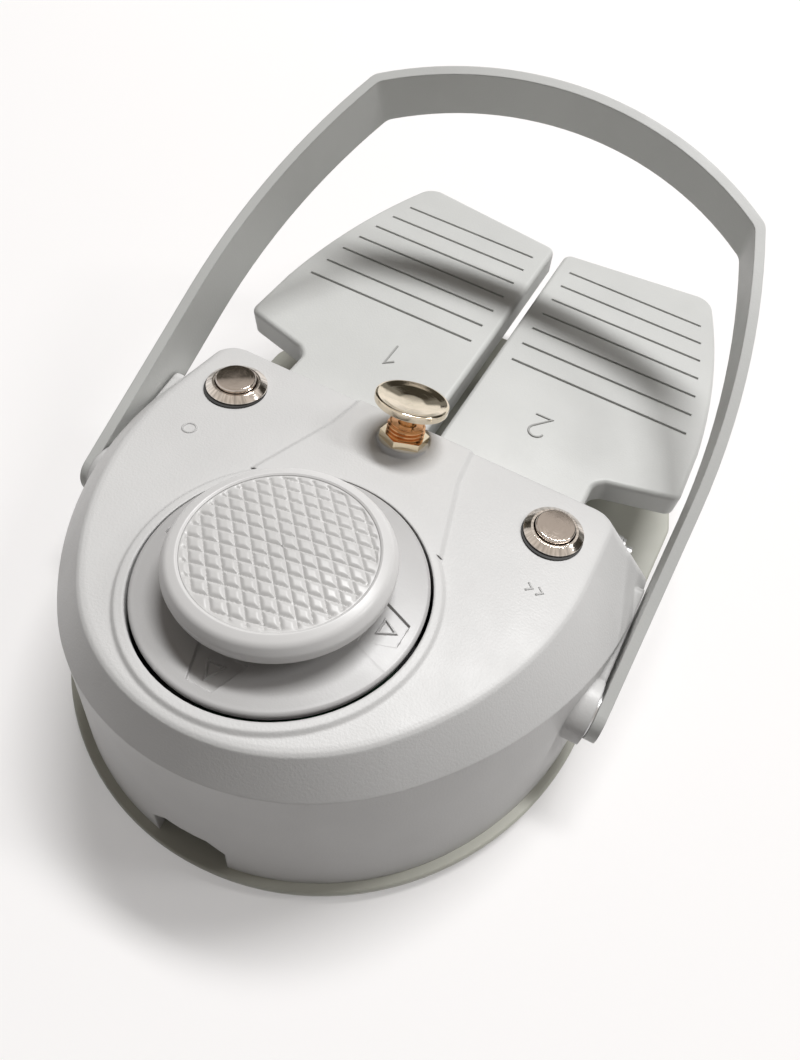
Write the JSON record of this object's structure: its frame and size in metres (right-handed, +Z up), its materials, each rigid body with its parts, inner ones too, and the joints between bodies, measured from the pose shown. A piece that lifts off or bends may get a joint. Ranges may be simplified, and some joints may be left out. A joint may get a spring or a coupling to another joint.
{
  "type": "foot switch",
  "caption": "Floor foot control with a domed front housing, tilting round thumb-pad stick, hinged treadle pedals, metal push buttons and a swing-over carrying bail.",
  "frame": {"origin": "on the floor under the middle of the footprint, in the plane of left-right symmetry", "axes": "+Z up, +Y from the joystick end towards the free ends of the pedals, +X to the right of someone facing +Y"},
  "size_m": [0.2218, 0.3325, 0.1349],
  "materials": {
    "cover_plastic": "fine satin grain, warm light grey",
    "knob_plastic": "smooth satin",
    "pad_rubber": "diamond knurled soft pad",
    "base_plastic": "satin, slightly yellowish grey",
    "rubber": "matte",
    "bright_metal": "polished",
    "satin_metal": "satin",
    "brass_metal": "polished",
    "steel": "plain",
    "inner_plastic": "plain",
    "board": "plain"
  },
  "bodies": {
    "chassis": {"base_plate": "base_plastic", "base_screws": "steel", "bezel_left": "bright_metal", "bezel_right": "bright_metal", "bracket_screws": "steel", "button_blocks": "inner_plastic", "button_gaskets": "rubber", "button_nuts": "steel", "cable_clamp": "inner_plastic", "centre_bushing": "brass_metal", "centre_nut": "brass_metal", "centre_switch": "inner_plastic", "centring_spring": "steel", "cup_screws": "steel", "handle_screws": "steel", "handle_washers": "steel", "hinge_bracket_left": "steel", "hinge_bracket_middle": "steel", "hinge_bracket_right": "steel", "joystick_cup": "inner_plastic", "joystick_switches": "inner_plastic", "pedal_shaft": "steel", "pedal_spring_left": "steel", "pedal_spring_right": "steel", "pedal_switch_left": "inner_plastic", "pedal_switch_right": "inner_plastic", "rubber_feet": "rubber", "shaft_clips": "steel", "shaft_spacers": "inner_plastic", "switch_board": "board", "switch_stand_left": "steel", "switch_stand_right": "steel", "terminal_block": "inner_plastic", "top_cover": "cover_plastic"},
    "handle": {"handle": "cover_plastic"},
    "pedal_left": {"pedal_left": "cover_plastic", "pedal_bushes_left": "inner_plastic"},
    "pedal_right": {"pedal_right": "cover_plastic", "pedal_bushes_right": "inner_plastic"},
    "plunger_left": {"switch_plunger_left": "inner_plastic"},
    "plunger_right": {"switch_plunger_right": "inner_plastic"},
    "gimbal": {"gimbal_ring": "steel"},
    "joystick": {"joystick_stem": "steel", "direction_disc": "cover_plastic", "joystick_knob": "knob_plastic", "knob_pad": "pad_rubber", "contact_plate": "steel"},
    "button_left": {"push_button_left": "satin_metal"},
    "button_right": {"push_button_right": "satin_metal"},
    "press_cap": {"press_cap": "bright_metal"}
  },
  "joints": [
    {"name": "handle_swing", "type": "hinge", "parent": "chassis", "child": "handle", "pos_m": [0, -0.06335, 0.038], "axis": [1, 0, 0], "range_deg": [0, 150]},
    {"name": "pedal_left_tread", "type": "hinge", "parent": "chassis", "child": "pedal_left", "pos_m": [-0.038, 0.00115, 0.046], "axis": [-1, 0, 0], "range_deg": [0, 4], "stiffness_Nm_per_rad": 20, "springref_deg": -1.72, "deforming": ["pedal_spring_left"]},
    {"name": "plunger_left_slide", "type": "slide", "parent": "chassis", "child": "plunger_left", "axis": [0, 0, -1], "range_m": [0, 0.0028]},
    {"name": "pedal_right_tread", "type": "hinge", "parent": "chassis", "child": "pedal_right", "pos_m": [0.038, 0.00115, 0.046], "axis": [-1, 0, 0], "range_deg": [0, 4], "stiffness_Nm_per_rad": 20, "springref_deg": -1.72, "deforming": ["pedal_spring_right"]},
    {"name": "plunger_right_slide", "type": "slide", "parent": "chassis", "child": "plunger_right", "axis": [0, 0, -1], "range_m": [0, 0.0028]},
    {"name": "stick_tilt_back_and_forth", "type": "hinge", "parent": "chassis", "child": "gimbal", "pos_m": [0, -0.08915, 0.07339], "axis": [1, 0, 0], "range_deg": [-6, 6], "stiffness_Nm_per_rad": 1.5, "deforming": ["centring_spring"]},
    {"name": "stick_tilt_side_to_side", "type": "hinge", "parent": "gimbal", "child": "joystick", "pos_m": [0, -0.08915, 0.07339], "axis": [0, 0.994, -0.1097], "range_deg": [-6, 6], "stiffness_Nm_per_rad": 1.5},
    {"name": "button_left_press", "type": "slide", "parent": "chassis", "child": "button_left", "axis": [0, -0.1097, -0.994], "range_m": [0, 0.0018], "stiffness_N_per_m": 1500, "springref_m": -0.001},
    {"name": "button_right_press", "type": "slide", "parent": "chassis", "child": "button_right", "axis": [0, -0.1097, -0.994], "range_m": [0, 0.0018], "stiffness_N_per_m": 1500, "springref_m": -0.001},
    {"name": "centre_press", "type": "slide", "parent": "chassis", "child": "press_cap", "axis": [0, -0.3714, -0.9285], "range_m": [0, 0.003], "stiffness_N_per_m": 1000, "springref_m": -0.002}
  ],
  "couplings": [
    {"joint": "plunger_left_slide", "follows": "pedal_left_tread", "m_per_rad": 0.0365},
    {"joint": "plunger_right_slide", "follows": "pedal_right_tread", "m_per_rad": 0.0365}
  ]
}
